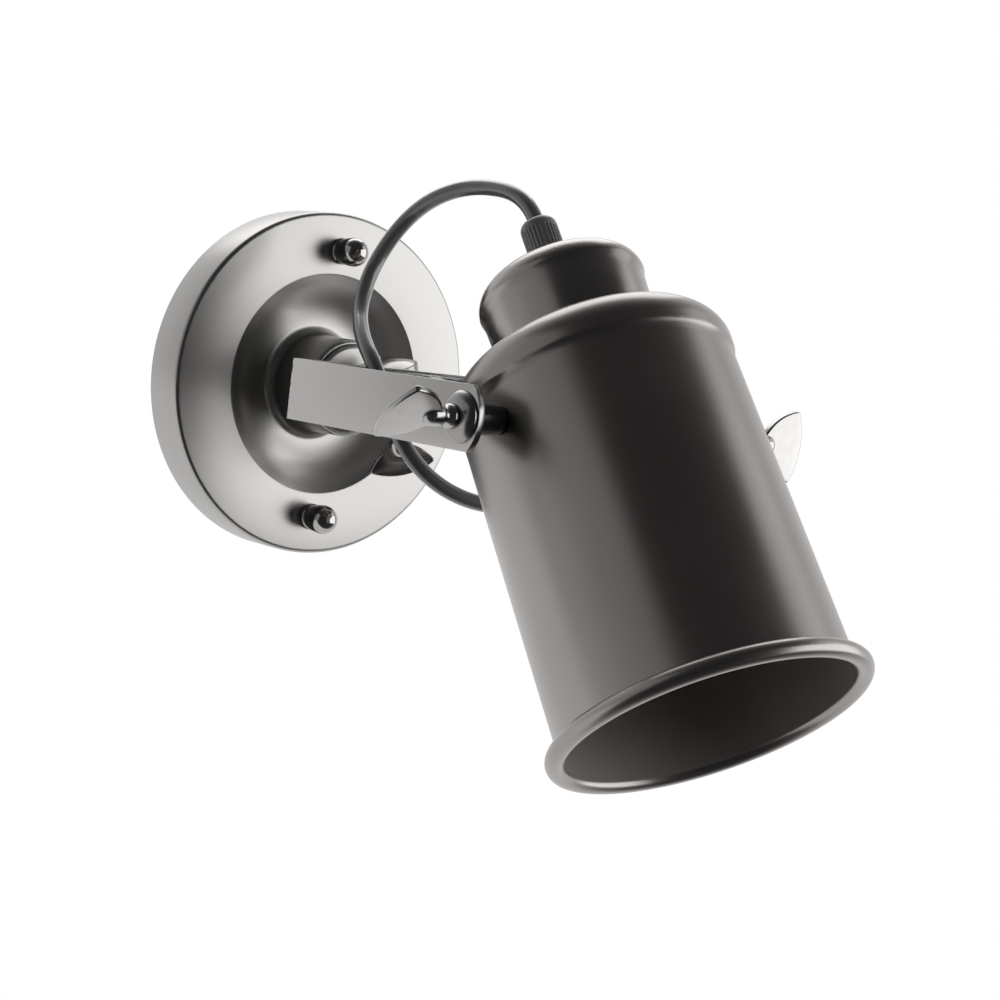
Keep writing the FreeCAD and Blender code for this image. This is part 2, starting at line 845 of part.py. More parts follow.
cut_through(bracket, "YZ_Plane", circles=pivot_places, radius=screw_bore)
end_drop = d.arm_end_radius - other_side(d.arm_end_radius, half_strap)
arm_end_waste = [
    (half_strap, arm_end - end_drop),
    (half_strap + d.overrun, arm_end - end_drop),
    (half_strap + d.overrun, arm_end + d.overrun),
    (-half_strap - d.overrun, arm_end + d.overrun),
    (-half_strap - d.overrun, arm_end - end_drop),
    (-half_strap, arm_end - end_drop, -d.arm_end_radius),
]
cut_through(bracket, "YZ_Plane", corners=arm_end_waste)
keep("u_bracket", on_wall(bracket))

web_nut_low = web_face + d.stem_washer_height
web_nut_high = web_nut_low + d.stem_nut_height
web_washer = washer("web_washer", stem_hole, d.stem_washer_radius, web_face, web_nut_low)
keep("web_washer", on_wall(web_washer))
web_nut = hex_nut(
    "web_nut", d.stem_nut_flats, web_nut_low, web_nut_high, d.thread_radius + d.running_gap
)
keep("web_nut", on_wall(web_nut))

bush_face = web_nut_high + d.cord_bush_length
bush_floor = bush_face - d.cord_bush_lip
cord_bush = spun("cord_bush", [
    (0, bush_floor + d.seat_gap),
    (d.thread_radius + d.running_gap, bush_floor + d.seat_gap),
    (d.thread_radius + d.running_gap, web_nut_high),
    (d.cord_bush_radius, web_nut_high),
    (d.cord_bush_radius, bush_floor),
    (d.cord_bush_radius - d.cord_bush_lip, bush_face),
    (0, bush_face),
])
keep("cord_bush", on_wall(cord_bush))


# Pivots: cup washer outside each arm, flange washer and spacer inside it

def beside_arm(piece, side, spin=None):
    """Set a piece at the outer face of an arm: -1 for the left one, 1 for the right."""
    spin = as_size(0) if spin is None else spin
    across = side * bracket_half_width
    return place(piece, across, -pivot_reach, 0, (0, 1, 0), side * quarter_turn, spin)


flange_outer = -d.strap_thickness
flange_inner = flange_outer - d.flange_height
spacer_inner = spacer_start - bracket_half_width
nut_reach = d.pivot_nut_flats / math.sqrt(3)
nut_face = other_side(shade_at_pivot - d.shade_wall, nut_reach) - d.seat_gap - bracket_half_width
nut_tail = nut_face - d.pivot_nut_height
side_shank = d.screw_tail - nut_tail

arm_cup = cup_washer("arm_cup", d.cup_height, d.cup_curve_radius)
keep_pair("arm_cups", beside_arm(arm_cup, -1), side_to_side)
arm_flange = washer("arm_flange", screw_bore, d.flange_radius, flange_inner, flange_outer)
keep_pair("arm_flanges", beside_arm(arm_flange, -1), side_to_side)
spacer = washer("spacer", screw_bore, d.spacer_radius, spacer_inner, flange_inner)
keep_pair("spacers", beside_arm(spacer, -1), side_to_side)
pivot_nut = hex_nut("pivot_nut", d.pivot_nut_flats, nut_tail, nut_face, screw_bore)
keep_pair("pivot_nuts", beside_arm(pivot_nut, -1), side_to_side)

left_screw = thumb_screw("thumb_screw_left", side_shank, d.cup_height, d.side_screw_reach)
keep("thumb_screw_left", beside_arm(left_screw, -1, d.left_leaf_angle))
right_screw = thumb_screw("thumb_screw_right", side_shank, d.cup_height, d.side_screw_reach)
keep("thumb_screw_right", beside_arm(right_screw, 1, d.right_leaf_angle))


# Shade: spun can with a rolled bead at the mouth and a rolled shoulder.
# Own frame: Z along the shade towards the cap, origin on the pivot axis.

wall = d.shade_wall
shade_corners = [
    (mouth_radius, -d.mouth_reach),
    (d.neck_radius, d.neck_rise),
    (roll_radius, d.neck_rise + roll_radius - d.neck_radius),
    (roll_radius, d.roll_rise, d.roll_curve_radius),
    (roll_top_radius, d.roll_top_rise, d.crown_curve_radius),
    (d.holder_hole_radius, d.crown_rise),
    (d.holder_hole_radius, d.crown_rise - wall),
    (roll_top_radius - wall * ledge_share, d.roll_top_rise - wall, -(d.roll_curve_radius - wall)),
    (roll_radius - wall, d.roll_rise),
    (roll_radius - wall, d.neck_rise + roll_radius - d.neck_radius + wall * ledge_share),
    (d.neck_radius - wall, d.neck_rise),
    (mouth_radius - wall, -d.mouth_reach),
]
shade = spun("lamp_shade", shade_corners)
bead_centre = mouth_radius + d.bead_radius - wall
bead_corners = [
    (bead_centre + d.bead_radius, -d.mouth_reach, d.bead_radius),
    (bead_centre - d.bead_radius, -d.mouth_reach, d.bead_radius),
]
turn(shade, "Revolution", bead_corners)
cut_through(shade, "YZ_Plane", circles=[(0, 0)], radius=screw_bore)
keep("lamp_shade", on_shade(shade))


# Cap on the shade, which hides the lampholder

cap_foot = d.crown_rise + d.seat_gap
cap_inside = d.cap_top_rise - d.cap_wall
cap_corners = [
    (d.cap_foot_radius, cap_foot),
    (d.cap_neck_radius, d.cap_neck_rise),
    (d.cap_roll_radius, d.cap_roll_rise, d.cap_roll_curve_radius),
    (d.cap_roll_top_radius, d.cap_roll_top_rise, d.cap_crown_curve_radius),
    (stem_hole, d.cap_top_rise),
    (stem_hole, cap_inside),
    (d.cap_seat_radius, cap_inside),
    (d.cap_roll_top_radius - d.cap_wall * ledge_share, d.cap_roll_top_rise - d.cap_wall),
    (d.cap_neck_radius - d.cap_wall, d.cap_neck_rise),
    (d.cap_foot_radius - d.cap_wall, cap_foot),
]
cap = spun("shade_cap", cap_corners)
keep("shade_cap", on_shade(cap))


# Cord grip on the cap, on a hollow nipple that also carries the lampholder

seal_top = d.cap_top_rise + d.grip_seal_height
grip_top = seal_top + d.grip_nut_length
sleeve_low = grip_top - d.grip_sleeve_length
nipple_top = seal_top + d.nipple_in_grip
holder_top = cap_inside - d.cap_nut_height
nipple_low = holder_top - d.nipple_in_holder
nipple_bore = d.thread_radius + d.running_gap

grip_seal = washer("grip_seal", nipple_bore, d.grip_seal_radius, d.cap_top_rise, seal_top)
keep("grip_seal", on_shade(grip_seal))
grip_nut = spun("grip_nut", [
    (nipple_bore, seal_top),
    (d.grip_nut_radius, seal_top),
    (d.grip_nut_radius, grip_top - d.grip_nut_edge_radius, d.grip_nut_edge_radius),
    (d.grip_nut_radius - d.grip_nut_edge_radius, grip_top),
    (d.grip_mouth_radius, grip_top),
    (d.grip_mouth_radius, sleeve_low),
    (nipple_bore, nipple_top),
])
keep("grip_nut", on_shade(grip_nut))
grip_sleeve = spun(
    "grip_sleeve", rectangle(0, d.grip_mouth_radius - d.seat_gap, sleeve_low, grip_top)
)
keep("grip_sleeve", on_shade(grip_sleeve))
cap_nipple = washer(
    "cap_nipple", d.nipple_inner_radius, d.thread_radius, nipple_low, nipple_top
)
keep("cap_nipple", on_shade(cap_nipple))
cap_nut = hex_nut("cap_nut", d.stem_nut_flats, holder_top, cap_inside, nipple_bore)
keep("cap_nut", on_shade(cap_nut))


# Lampholder: screw socket with its shell, contact and shade ring

holder_low = holder_top - d.holder_length
holder_floor = holder_low + d.holder_floor_depth
skirt_top = holder_low + d.holder_skirt_length
holder_shoulder = holder_top - (d.holder_waist_radius - d.holder_top_radius) * ledge_share
holder = spun("lampholder", [
    (d.holder_bore_radius, holder_low),
    (d.holder_radius, holder_low),
    (d.holder_radius, skirt_top),
    (d.holder_waist_radius, skirt_top + d.holder_radius - d.holder_waist_radius),
    (d.holder_waist_radius, holder_shoulder),
    (d.holder_top_radius, holder_top),
    (nipple_bore, holder_top),
    (nipple_bore, nipple_low),
    (0, nipple_low),
    (0, holder_floor),
    (d.holder_bore_radius, holder_floor),
])
keep("lampholder", on_shade(holder))
shell_outside = d.holder_bore_radius - d.running_gap
shell_low = holder_low + d.shell_inset
shell_high = shell_low + d.shell_length
shell_inside = shell_outside - d.shell_wall
screw_shell = washer("screw_shell", shell_inside, shell_outside, shell_low, shell_high)
keep("screw_shell", on_shade(screw_shell))
contact_low = holder_floor - d.contact_height
contact = spun("centre_contact", rectangle(0, d.contact_radius, contact_low, holder_floor))
keep("centre_contact", on_shade(contact))
crown_inside = d.crown_rise - wall
crown_run = roll_top_radius - wall * ledge_share - d.holder_hole_radius
crown_slope = (d.crown_rise - d.roll_top_rise) / crown_run
ring_drop = crown_slope * (d.holder_ring_radius - d.holder_hole_radius)
ring_top = crown_inside - ring_drop - d.seat_gap
holder_ring = washer(
    "holder_ring",
    d.holder_radius + d.running_gap,
    d.holder_ring_radius,
    ring_top - d.holder_ring_height,
    ring_top,
)
keep("holder_ring", on_shade(holder_ring))


# Flex from the cord grip on the shade, round behind one arm, into the bush.
# The loop is laid out point by point: right of the middle, in front of the
# bush's face, and above the middle of the bracket.

loop_points = [
    (-1.1, 3.0, 71.4),
    (-6.7, -12.4, 67.0),
    (-10.1, -25.3, 57.6),
    (-15.1, -31.7, 42.8),
    (-21.2, -27.3, 28.2),
    (-25.5, -14.3, 18.4),
    (-28.4, -0.9, 9.4),
    (-26.2, 4.6, -6.6),
    (-19.3, 10.6, -20.0),
    (-5.7, 14.9, -28.5),
    (11.4, 17.8, -31.2),
    (27.8, 17.7, -24.4),
    (42.0, 18.5, -10.6),
    (42.1, 19.2, 8.7),
    (31.0, 19.8, 21.3),
    (14.2, 19.6, 22.6),
    (1.2, 16.9, 12.5),
]

lean = math.radians(d.shade_tilt_angle.value)
grip_axis = FreeCAD.Vector(0, math.sin(lean), math.cos(lean))
grip_point = FreeCAD.Vector(0, -pivot_reach.value, 0) + grip_axis * grip_top.value
bush_point = FreeCAD.Vector(0, -bush_face.value, 0)
cord_points = [grip_point, grip_point + grip_axis * d.cord_exit_run.value]
cord_points += [bush_point + FreeCAD.Vector(x, -ahead, z) for x, ahead, z in loop_points]
cord_points += [bush_point - FreeCAD.Vector(0, d.cord_entry_run.value, 0), bush_point]

pieces = []
bend_radii = []
line_start = cord_points[0]
for before, corner, after in zip(cord_points, cord_points[1:], cord_points[2:]):
    arriving = corner - before
    leaving = after - corner
    shorter_run = min(arriving.Length, leaving.Length)
    arriving.normalize()
    leaving.normalize()
    half_turn = arriving.getAngle(leaving) / 2
    setback = arc_share * shorter_run
    bend_radius = setback / math.tan(half_turn)
    bend_radii.append(bend_radius)
    arc_start = corner - arriving * setback
    arc_finish = corner + leaving * setback
    inward = (leaving - arriving).normalize()
    arc_middle = corner + inward * bend_radius * (1 / math.cos(half_turn) - 1)
    pieces.append(Part.LineSegment(line_start, arc_start).toShape())
    pieces.append(Part.Arc(arc_start, arc_middle, arc_finish).toShape())
    line_start = arc_finish
pieces.append(Part.LineSegment(line_start, cord_points[-1]).toShape())
cord_path = Part.Wire(pieces)
cord_radius = d.cord_diameter.value / 2
cord_ring = Part.Wire(Part.makeCircle(cord_radius, grip_point, grip_axis))
cord = document.addObject("Part::Feature", "power_cord")
cord.Shape = cord_path.makePipeShell([cord_ring], True, False)
keep("power_cord", cord)

cord_length = cord_path.Length
swept_volume = math.pi * cord_radius ** 2 * cord_length
print("cord length", round(cord_length, 1))
print("cord bend radii", [round(radius, 1) for radius in bend_radii])
print("cord volume over section times length", round(cord.Shape.Volume / swept_volume, 4))


# Check every object, then write one file for each node

document.recompute()
for item in document.Objects:
    if "Invalid" in item.State or "Error" in item.State:
        raise RuntimeError(f"{item.Label} did not build: {item.State}")
for name, piece in nodes.items():
    if piece.Shape.isNull() or not piece.Shape.isValid():
        raise RuntimeError(f"{name} has no valid shape")

os.makedirs("parts", exist_ok=True)
for name, piece in nodes.items():
    piece.Shape.exportStep(f"parts/{name}.step")
print("nodes", len(nodes))
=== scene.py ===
from math import asin, atan2, cos, degrees, pi, radians, sin, sqrt, tau

import bmesh
import bpy
from mathutils import Matrix, Vector


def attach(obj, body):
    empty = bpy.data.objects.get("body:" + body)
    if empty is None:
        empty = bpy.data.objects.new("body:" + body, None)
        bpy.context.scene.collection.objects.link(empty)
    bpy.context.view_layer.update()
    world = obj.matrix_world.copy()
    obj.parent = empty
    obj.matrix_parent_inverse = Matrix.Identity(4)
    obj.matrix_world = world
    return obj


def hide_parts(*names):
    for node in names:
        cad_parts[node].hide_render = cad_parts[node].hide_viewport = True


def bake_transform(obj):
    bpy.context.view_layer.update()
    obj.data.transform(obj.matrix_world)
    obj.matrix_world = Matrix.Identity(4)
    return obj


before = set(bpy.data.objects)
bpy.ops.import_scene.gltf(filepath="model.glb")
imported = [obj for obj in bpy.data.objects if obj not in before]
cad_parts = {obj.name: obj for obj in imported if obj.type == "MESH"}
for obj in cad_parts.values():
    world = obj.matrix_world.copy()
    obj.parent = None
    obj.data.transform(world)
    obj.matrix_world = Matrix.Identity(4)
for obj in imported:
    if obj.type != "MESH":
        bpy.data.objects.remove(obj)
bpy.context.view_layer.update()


# Camera
# A long lens to the left of the lamp, a little above its middle, tipped to one
# side. Its place is in metres from the middle of the cover's back.

camera_data = bpy.data.cameras.new("camera")
camera_data.sensor_width = 36.0
camera_data.lens = 77.33
camera_data.clip_start = 0.01
camera = bpy.data.objects.new("camera", camera_data)
bpy.context.scene.collection.objects.link(camera)
camera_place = (-0.42842, -0.64152, 0.02231)
camera_heading = radians(-39.43)
camera_dip = radians(4.19)
camera_roll = radians(6.95)
camera.matrix_world = (
    Matrix.Translation(camera_place)
    @ Matrix.Rotation(camera_heading, 4, "Z")
    @ Matrix.Rotation(radians(90) - camera_dip, 4, "X")
    @ Matrix.Rotation(camera_roll, 4, "Z")
)
bpy.context.scene.camera = camera


# Flex
# A round black cable with a smooth glossy sheath. It leaves the cord grip on
# the cap, swings round behind the left arm and comes back inside the bracket,
# where it goes into the bush in the middle of the web.

class Wire:
    """One value on its way through a finish. A sum or product adds a Math node."""

    def __init__(self, finish, socket):
        self.finish = finish
        self.socket = socket

    def maths(self, operation, first, second):
        return self.finish.node("Math", {"operation": operation}, {0: first, 1: second})

    def __add__(self, other):
        return self.maths("ADD", self, other)

    def __radd__(self, other):
        return self.maths("ADD", other, self)

    def __mul__(self, other):
        return self.maths("MULTIPLY", self, other)

    def __rmul__(self, other):
        return self.maths("MULTIPLY", other, self)


class Finish:
    """A material: one shader with its fixed values, and the nodes that feed it."""

    def __init__(self, name, **values):
        self.material = bpy.data.materials.new(name)
        self.material.use_nodes = True
        self.tree = self.material.node_tree
        self.shader = self.tree.nodes["Principled BSDF"]
        for socket, value in values.items():
            self.shader.inputs[socket.replace("_", " ")].default_value = value

    def node(self, kind, settings=None, feeds=None, output=0):
        """Add a node, set it up, feed its sockets and give one of its outputs."""
        made = self.tree.nodes.new("ShaderNode" + kind)
        for setting, value in (settings or {}).items():
            if setting == "stops":
                while len(made.color_ramp.elements) < len(value):
                    made.color_ramp.elements.new(1.0)
                for stop, (place, shade) in zip(made.color_ramp.elements, value):
                    stop.position = place
                    stop.color = (shade, shade, shade, 1)
            else:
                setattr(made, setting, value)
        for socket, value in (feeds or {}).items():
            self.feed(made.inputs[socket], value)
        return Wire(self, made.outputs[output])

    def feed(self, socket, value):
        if isinstance(value, Wire):
            self.tree.links.new(value.socket, socket)
        else:
            socket.default_value = value

    def surface(self, **feeds):
        """Feed the shader's own sockets and give the material."""
        for socket, value in feeds.items():
            self.feed(self.shader.inputs[socket.replace("_", " ")], value)
        return self.material

    def spot(self, at=(0, 0, 0), tipped=(0, 0, 0)):
        """Where a point lies, from a place on the piece and along its own axes."""
        here = self.node("TexCoord", output="Object")
        own = {"Vector": here, "Location": at, "Rotation": tipped}
        return self.node("Mapping", {"vector_type": "TEXTURE"}, own)

    def cloud(self, size, detail=3.0, **where):
        """Soft patches, each about so many metres across."""
        sizes = {"Vector": self.spot(**where), "Scale": 1 / size, "Detail": detail}
        return self.node("TexNoise", {}, sizes)

    def rings(self, spacing, wander, **where):
        """Fine rings round the piece's own Z, as spinning leaves them."""
        settings = {"wave_type": "RINGS", "rings_direction": "Z"}
        one_ring = tau / 20
        sizes = {
            "Vector": self.spot(**where), "Scale": one_ring / spacing,
            "Distortion": wander, "Detail": 3.0, "Detail Scale": 6.0,
        }
        return self.node("TexWave", settings, sizes, output=1)

    def bumps(self, height, depth):
        """A relief that is so many metres deep at a height of 1."""
        relief = {"Height": height, "Distance": depth, "Strength": 1.0}
        return self.node("Bump", {}, relief)


def mixed(finish, share, first, second):
    """A colour between two, by a share that varies over the surface."""
    ends = {"Factor": share, 6: (*first, 1), 7: (*second, 1)}
    return finish.node("Mix", {"data_type": "RGBA"}, ends, output=2)


flex_radius = 0.0026
flex_route = [
    (0.0, -0.1218619, 0.0602970),
    (0.0, -0.1155428, 0.0686827),
    (-0.0011, -0.0922, 0.0714),
    (-0.0059, -0.0768, 0.0670),
    (-0.0089, -0.0639, 0.0576),
    (-0.0141, -0.0575, 0.0428),
    (-0.0212, -0.0619, 0.0282),
    (-0.0280, -0.0749, 0.0184),
    (-0.0305, -0.0883, 0.0094),
    (-0.0262, -0.0938, -0.0066),
    (-0.0193, -0.0998, -0.0200),
    (-0.0057, -0.1041, -0.0285),
    (0.0114, -0.1070, -0.0312),
    (0.0278, -0.1069, -0.0244),
    (0.0420, -0.1077, -0.0106),
    (0.0421, -0.1084, 0.0087),
    (0.0310, -0.1090, 0.0213),
    (0.0142, -0.1088, 0.0226),
    (0.0012, -0.1061, 0.0125),
    (0.0, -0.0999, 0.0),
    (0.0, -0.0892, 0.0),
]
flex_curve = bpy.data.curves.new("flex_line", "CURVE")
flex_curve.dimensions = "3D"
flex_spline = flex_curve.splines.new("NURBS")
flex_spline.points.add(len(flex_route) - 1)
for point, spot in zip(flex_spline.points, flex_route):
    point.co = (*spot, 1)
flex_spline.order_u = 3
flex_spline.use_endpoint_u = True
flex_spline.resolution_u = 16
flex_line = bpy.data.objects.new("flex_line", flex_curve)
flex_thread = bpy.data.meshes.new_from_object(flex_line)
flex_curve.bevel_depth = flex_radius
flex_curve.bevel_resolution = 12
flex_curve.use_fill_caps = True
flex_mesh = bpy.data.meshes.new_from_object(flex_line)
flex_sheath = bmesh.new()
flex_sheath.from_mesh(flex_mesh)
bmesh.ops.remove_doubles(flex_sheath, verts=flex_sheath.verts, dist=1e-6)
bmesh.ops.recalc_face_normals(flex_sheath, faces=flex_sheath.faces)
flex_sheath.to_mesh(flex_mesh)
bpy.data.objects.remove(flex_line)
flex = bpy.data.objects.new("flex", flex_mesh)
bpy.context.scene.collection.objects.link(flex)
flex_mesh.shade_smooth()

sheath = Finish("flex_sheath", Coat_Weight=1.0, Coat_Roughness=0.06)
sheath_cloud = sheath.cloud(size=0.006)
flex_mesh.materials.clear()
flex_mesh.materials.append(sheath.surface(
    Base_Color=mixed(sheath, sheath_cloud, (0.13, 0.129, 0.128), (0.17, 0.169, 0.167)),
    Roughness=0.2 + 0.1 * sheath_cloud,
    Normal=sheath.bumps(sheath.cloud(size=0.0007, detail=2.0), depth=0.00001),
))
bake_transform(flex)
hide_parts("power_cord")


# Wall cover
# A disc spun from 1.2 mm steel, with a dished ring round a raised boss. It is
# open at the back, plated gunmetal with a satin face, and two ball nuts hold
# it to the bar behind. Sizes below are millimetres: radius, then height.

millimetres = Matrix.Scale(0.001, 4)
off_wall = millimetres @ Matrix.Rotation(radians(90), 4, "X")
weld = 0.0005
arc_step_degrees = 6


def pen(corners, closed=True):
    """Draw an outline as a wire in the XZ plane.

    A corner is (across, up), then how far it is eased, then the radius of an
    arc to the next corner, which turns left where that is positive.
    """
    wire = bmesh.new()
    spots = [Vector((corner[0], 0, corner[1])) for corner in corners]
    dots = [wire.verts.new(spot) for spot in spots]
    count = len(corners)
    for index in range(count if closed else count - 1):
        corner, start, finish = corners[index], spots[index], spots[(index + 1) % count]
        if len(corner) < 4:
            wire.edges.new((dots[index], dots[(index + 1) % count]))
            continue
        bend = abs(corner[3])
        chord = finish - start
        left = corner[3] > 0
        aside = Vector((-chord.z, 0, chord.x)).normalized() * (1 if left else -1)
        rise = sqrt(max(bend ** 2 - chord.length_squared / 4, 0))
        centre = (start + finish) / 2 + aside * rise
        angle = 2 * asin(min(chord.length / (2 * bend), 1))
        steps = max(3, round(degrees(angle) / arc_step_degrees))
        bmesh.ops.spin(
            wire, geom=[dots[index]], cent=centre, axis=(0, -1 if left else 1, 0),
            angle=angle, steps=steps, use_merge=False,
        )
    bmesh.ops.remove_doubles(wire, verts=wire.verts, dist=weld)
    for corner, spot in zip(corners, spots):
        if len(corner) > 2 and corner[2]:
            dot = min(wire.verts, key=lambda vertex: (vertex.co - spot).length)
            bmesh.ops.bevel(
                wire, geom=[dot], offset=corner[2], offset_type="OFFSET",
                affect="VERTICES", segments=5, profile=0.5, material=-1,
            )
    return wire


def turned(corners, place, steps=96):
    """Turn a piece on the lathe: spin an outline about Z, then put it in its place."""
    on_axis = corners[0][0] == 0 and corners[-1][0] == 0
    part = pen(corners, closed=not on_axis)
    bmesh.ops.spin(
        part, geom=part.verts[:] + part.edges[:], cent=(0, 0, 0), axis=(0, 0, 1),
        angle=tau, steps=steps, use_merge=True,
    )
    bmesh.ops.remove_doubles(part, verts=part.verts, dist=weld)
    bmesh.ops.recalc_face_normals(part, faces=part.faces)
    bmesh.ops.transform(part, matrix=place, verts=part.verts)
    return part


def assembled(name, parts, finish, body, nodes, crease=35):
    """Join parts to one piece that stands for CAD nodes and rides on their body."""
    mesh = bpy.data.meshes.new(name)
    whole = bmesh.new()
    for part in parts:
        part.to_mesh(mesh)
        part.free()
        whole.from_mesh(mesh)
    whole.to_mesh(mesh)
    mesh.shade_smooth()
    mesh.set_sharp_from_angle(angle=radians(crease))
    mesh.materials.append(finish)
    piece = bpy.data.objects.new(name, mesh)
    bpy.context.scene.collection.objects.link(piece)
    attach(piece, body)
    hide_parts(*nodes)
    return piece


def plated(name, light, dark, smooth, rough, **where):
    """Satin plating over metal: cloudy patches, faint rings and a fine grain."""
    plate = Finish(name, Metallic=1.0)
    patches = plate.cloud(size=0.028, detail=4.0, **where)
    grain = plate.cloud(size=0.0005, detail=2.0, **where)
    lines = plate.rings(spacing=0.0009, wander=1.5, **where)
    return plate.surface(
        Base_Color=mixed(plate, patches, dark, light),
        Roughness=smooth + (rough - smooth) * patches + 0.03 * lines,
        Normal=plate.bumps(0.7 * lines + 0.3 * grain, depth=0.0000012),
    )


gunmetal = plated(
    "gunmetal_cover", light=(0.43, 0.422, 0.412), dark=(0.40, 0.391, 0.381),
    smooth=0.29, rough=0.35, tipped=(radians(90), 0, 0),
)
cover = turned([
    (60.0, 0.0, 0.2),
    (60.0, 17.0, 1.5),
    (38.6, 17.0, 0.3),
    (35.5, 14.4, 0, -23.0),
    (20.72, 9.02, 0, -3.5),
    (17.22, 12.34),
    (16.7, 32.4, 1.2),
    (15.5, 32.4),
    (14.2, 31.5, 0.2),
    (14.2, 34.0, 0.4),
    (5.1, 34.0),
    (5.1, 32.8),
    (13.0, 32.8, 0.5),
    (13.0, 30.3, 0.5),
    (15.5, 30.3, 0.4),
    (16.02, 12.34, 0, 4.7),
    (20.72, 7.82, 0, 24.2),
    (36.27, 13.48),
    (39.6, 15.8),
    (58.8, 15.8, 0.8),
    (58.8, 0.0, 0.2),
], off_wall, steps=192)
assembled("cover", [cover], gunmetal, "base", ["wall_cover"])


# Mounting bar, studs and their nuts
# A zinc-plated steel strip that two wood screws hold to the wall. Two threaded
# studs stand in it, each locked by a hexagon nut, and carry the cover.

def zinc(name):
    """Bright zinc plating, a little blue in some patches and yellow in others."""
    plate = Finish(name, Metallic=1.0)
    patches = plate.cloud(size=0.006, detail=4.0)
    return plate.surface(
        Base_Color=mixed(plate, patches, (0.52, 0.53, 0.55), (0.66, 0.65, 0.62)),
        Roughness=0.28 + 0.16 * patches,
        Normal=plate.bumps(plate.cloud(size=0.0012), depth=0.00002),
    )


def dressed(nodes, finish):
    """Give CAD nodes that keep their own shape a finish."""
    for node in nodes:
        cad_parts[node].material_slots[0].material = finish


zinc_plate = zinc("zinc_plate")
dressed(
    ["mounting_bar", "stud_nuts", "stem_washer", "stem_nut"], zinc_plate
)
thread_weld = 0.001


def threaded(radius, low, high, pitch, depth, place):
    """A thread round a rod: one tooth carried round and up by one pitch a turn."""
    steps = 36
    root = radius - depth
    tooth = pen([(root, -pitch / 2), (radius, 0.0), (root, pitch / 2)], closed=False)
    turns = int((high - low) / pitch)
    bmesh.ops.translate(tooth, verts=tooth.verts, vec=(0, 0, low + pitch / 2))
    bmesh.ops.spin(
        tooth, geom=tooth.verts[:] + tooth.edges[:], cent=(0, 0, 0), axis=(0, 0, 1),
        dvec=(0, 0, pitch / steps), angle=tau * (turns - 1), steps=steps * (turns - 1),
    )
    bmesh.ops.remove_doubles(tooth, verts=tooth.verts, dist=thread_weld)
    bmesh.ops.recalc_face_normals(tooth, faces=tooth.faces)
    bmesh.ops.transform(tooth, matrix=place, verts=tooth.verts)
    return tooth


stud_places = [off_wall @ Matrix.Translation((0, side * 46.8, 0)) for side in (1, -1)]
stud_parts = []
for place in stud_places:
    core = [(0, 0.0), (1.75, 0.0, 0.3), (1.75, 22.5, 0.5), (0, 22.5)]
    stud_parts.append(turned(core, place, steps=32))
    stud_parts.append(
        threaded(radius=2.0, low=0.2, high=22.0, pitch=0.7, depth=0.36, place=place)
    )
assembled(
    "studs", stud_parts, zinc_plate, "base", ["cover_studs"], crease=60
)


# Ball nuts
# Two polished brass balls, plated black chrome, each on a small foot that
# presses on the face of the cover.

def black_chrome(name, colour, smooth):
    """Dark plating that mirrors, with faint smudges."""
    plate = Finish(name, Metallic=1.0)
    smudges = plate.cloud(size=0.004)
    darker = tuple(0.8 * part for part in colour)
    return plate.surface(
        Base_Color=mixed(plate, smudges, darker, colour),
        Roughness=smooth + 0.07 * smudges,
        Normal=plate.bumps(plate.cloud(size=0.0006, detail=2.0), depth=0.000002),
    )


chrome = black_chrome("black_chrome", colour=(0.42, 0.406, 0.398), smooth=0.07)
ball_parts = [
    turned([
        (2.06, 17.0), (4.6, 17.0, 0.15), (4.6, 18.7, 0.35), (4.2, 19.1, 0.1),
        (4.2, 19.5, 0.1), (4.407, 19.9, 0.12, 24.0), (5.0, 25.2, 0, 5.0), (0, 30.2),
        (0.0, 23.5), (2.06, 23.5),
    ], place, steps=72)
    for place in stud_places
]
assembled(
    "ball_nuts_polished", ball_parts, chrome, "base", ["ball_nuts"]
)


# Terminal block and earth screw
# A white nylon block with three wire holes, and a brass screw beside it on the
# bar. Both are hidden once the cover is on.

nylon = Finish("white_nylon")
nylon_cloud = nylon.cloud(size=0.005)
dressed(["terminal_block"], nylon.surface(
    Base_Color=mixed(nylon, nylon_cloud, (0.78, 0.77, 0.74), (0.86, 0.85, 0.82)),
    Roughness=0.4 + 0.15 * nylon_cloud,
    Normal=nylon.bumps(nylon.cloud(size=0.0006), depth=0.00003),
))

alloy = Finish("brass", Metallic=1.0)
tarnish = alloy.cloud(size=0.005, detail=4.0)
brass = alloy.surface(
    Base_Color=mixed(alloy, tarnish, (0.62, 0.43, 0.19), (0.80, 0.60, 0.30)),
    Roughness=0.2 + 0.16 * tarnish,
    Normal=alloy.bumps(alloy.cloud(size=0.0008), depth=0.00001),
)
dressed(["earth_screw", "centre_contact"], brass)


# Knuckle joint
# A fork on the cover's hollow stem takes the tongue on the bracket's stem. Both
# are turned and milled from steel and plated; a thumb screw clamps them.

knuckle_out = 57.0
knuckle_lean = radians(18)
knuckle = (
    millimetres @ Matrix.Translation((0, -knuckle_out, 0))
    @ Matrix.Rotation(-knuckle_lean, 4, "Y")
)
fore_and_aft = Matrix.Rotation(radians(-90), 4, "X")
sharp_edge = radians(50)
ear_radius = 10.0


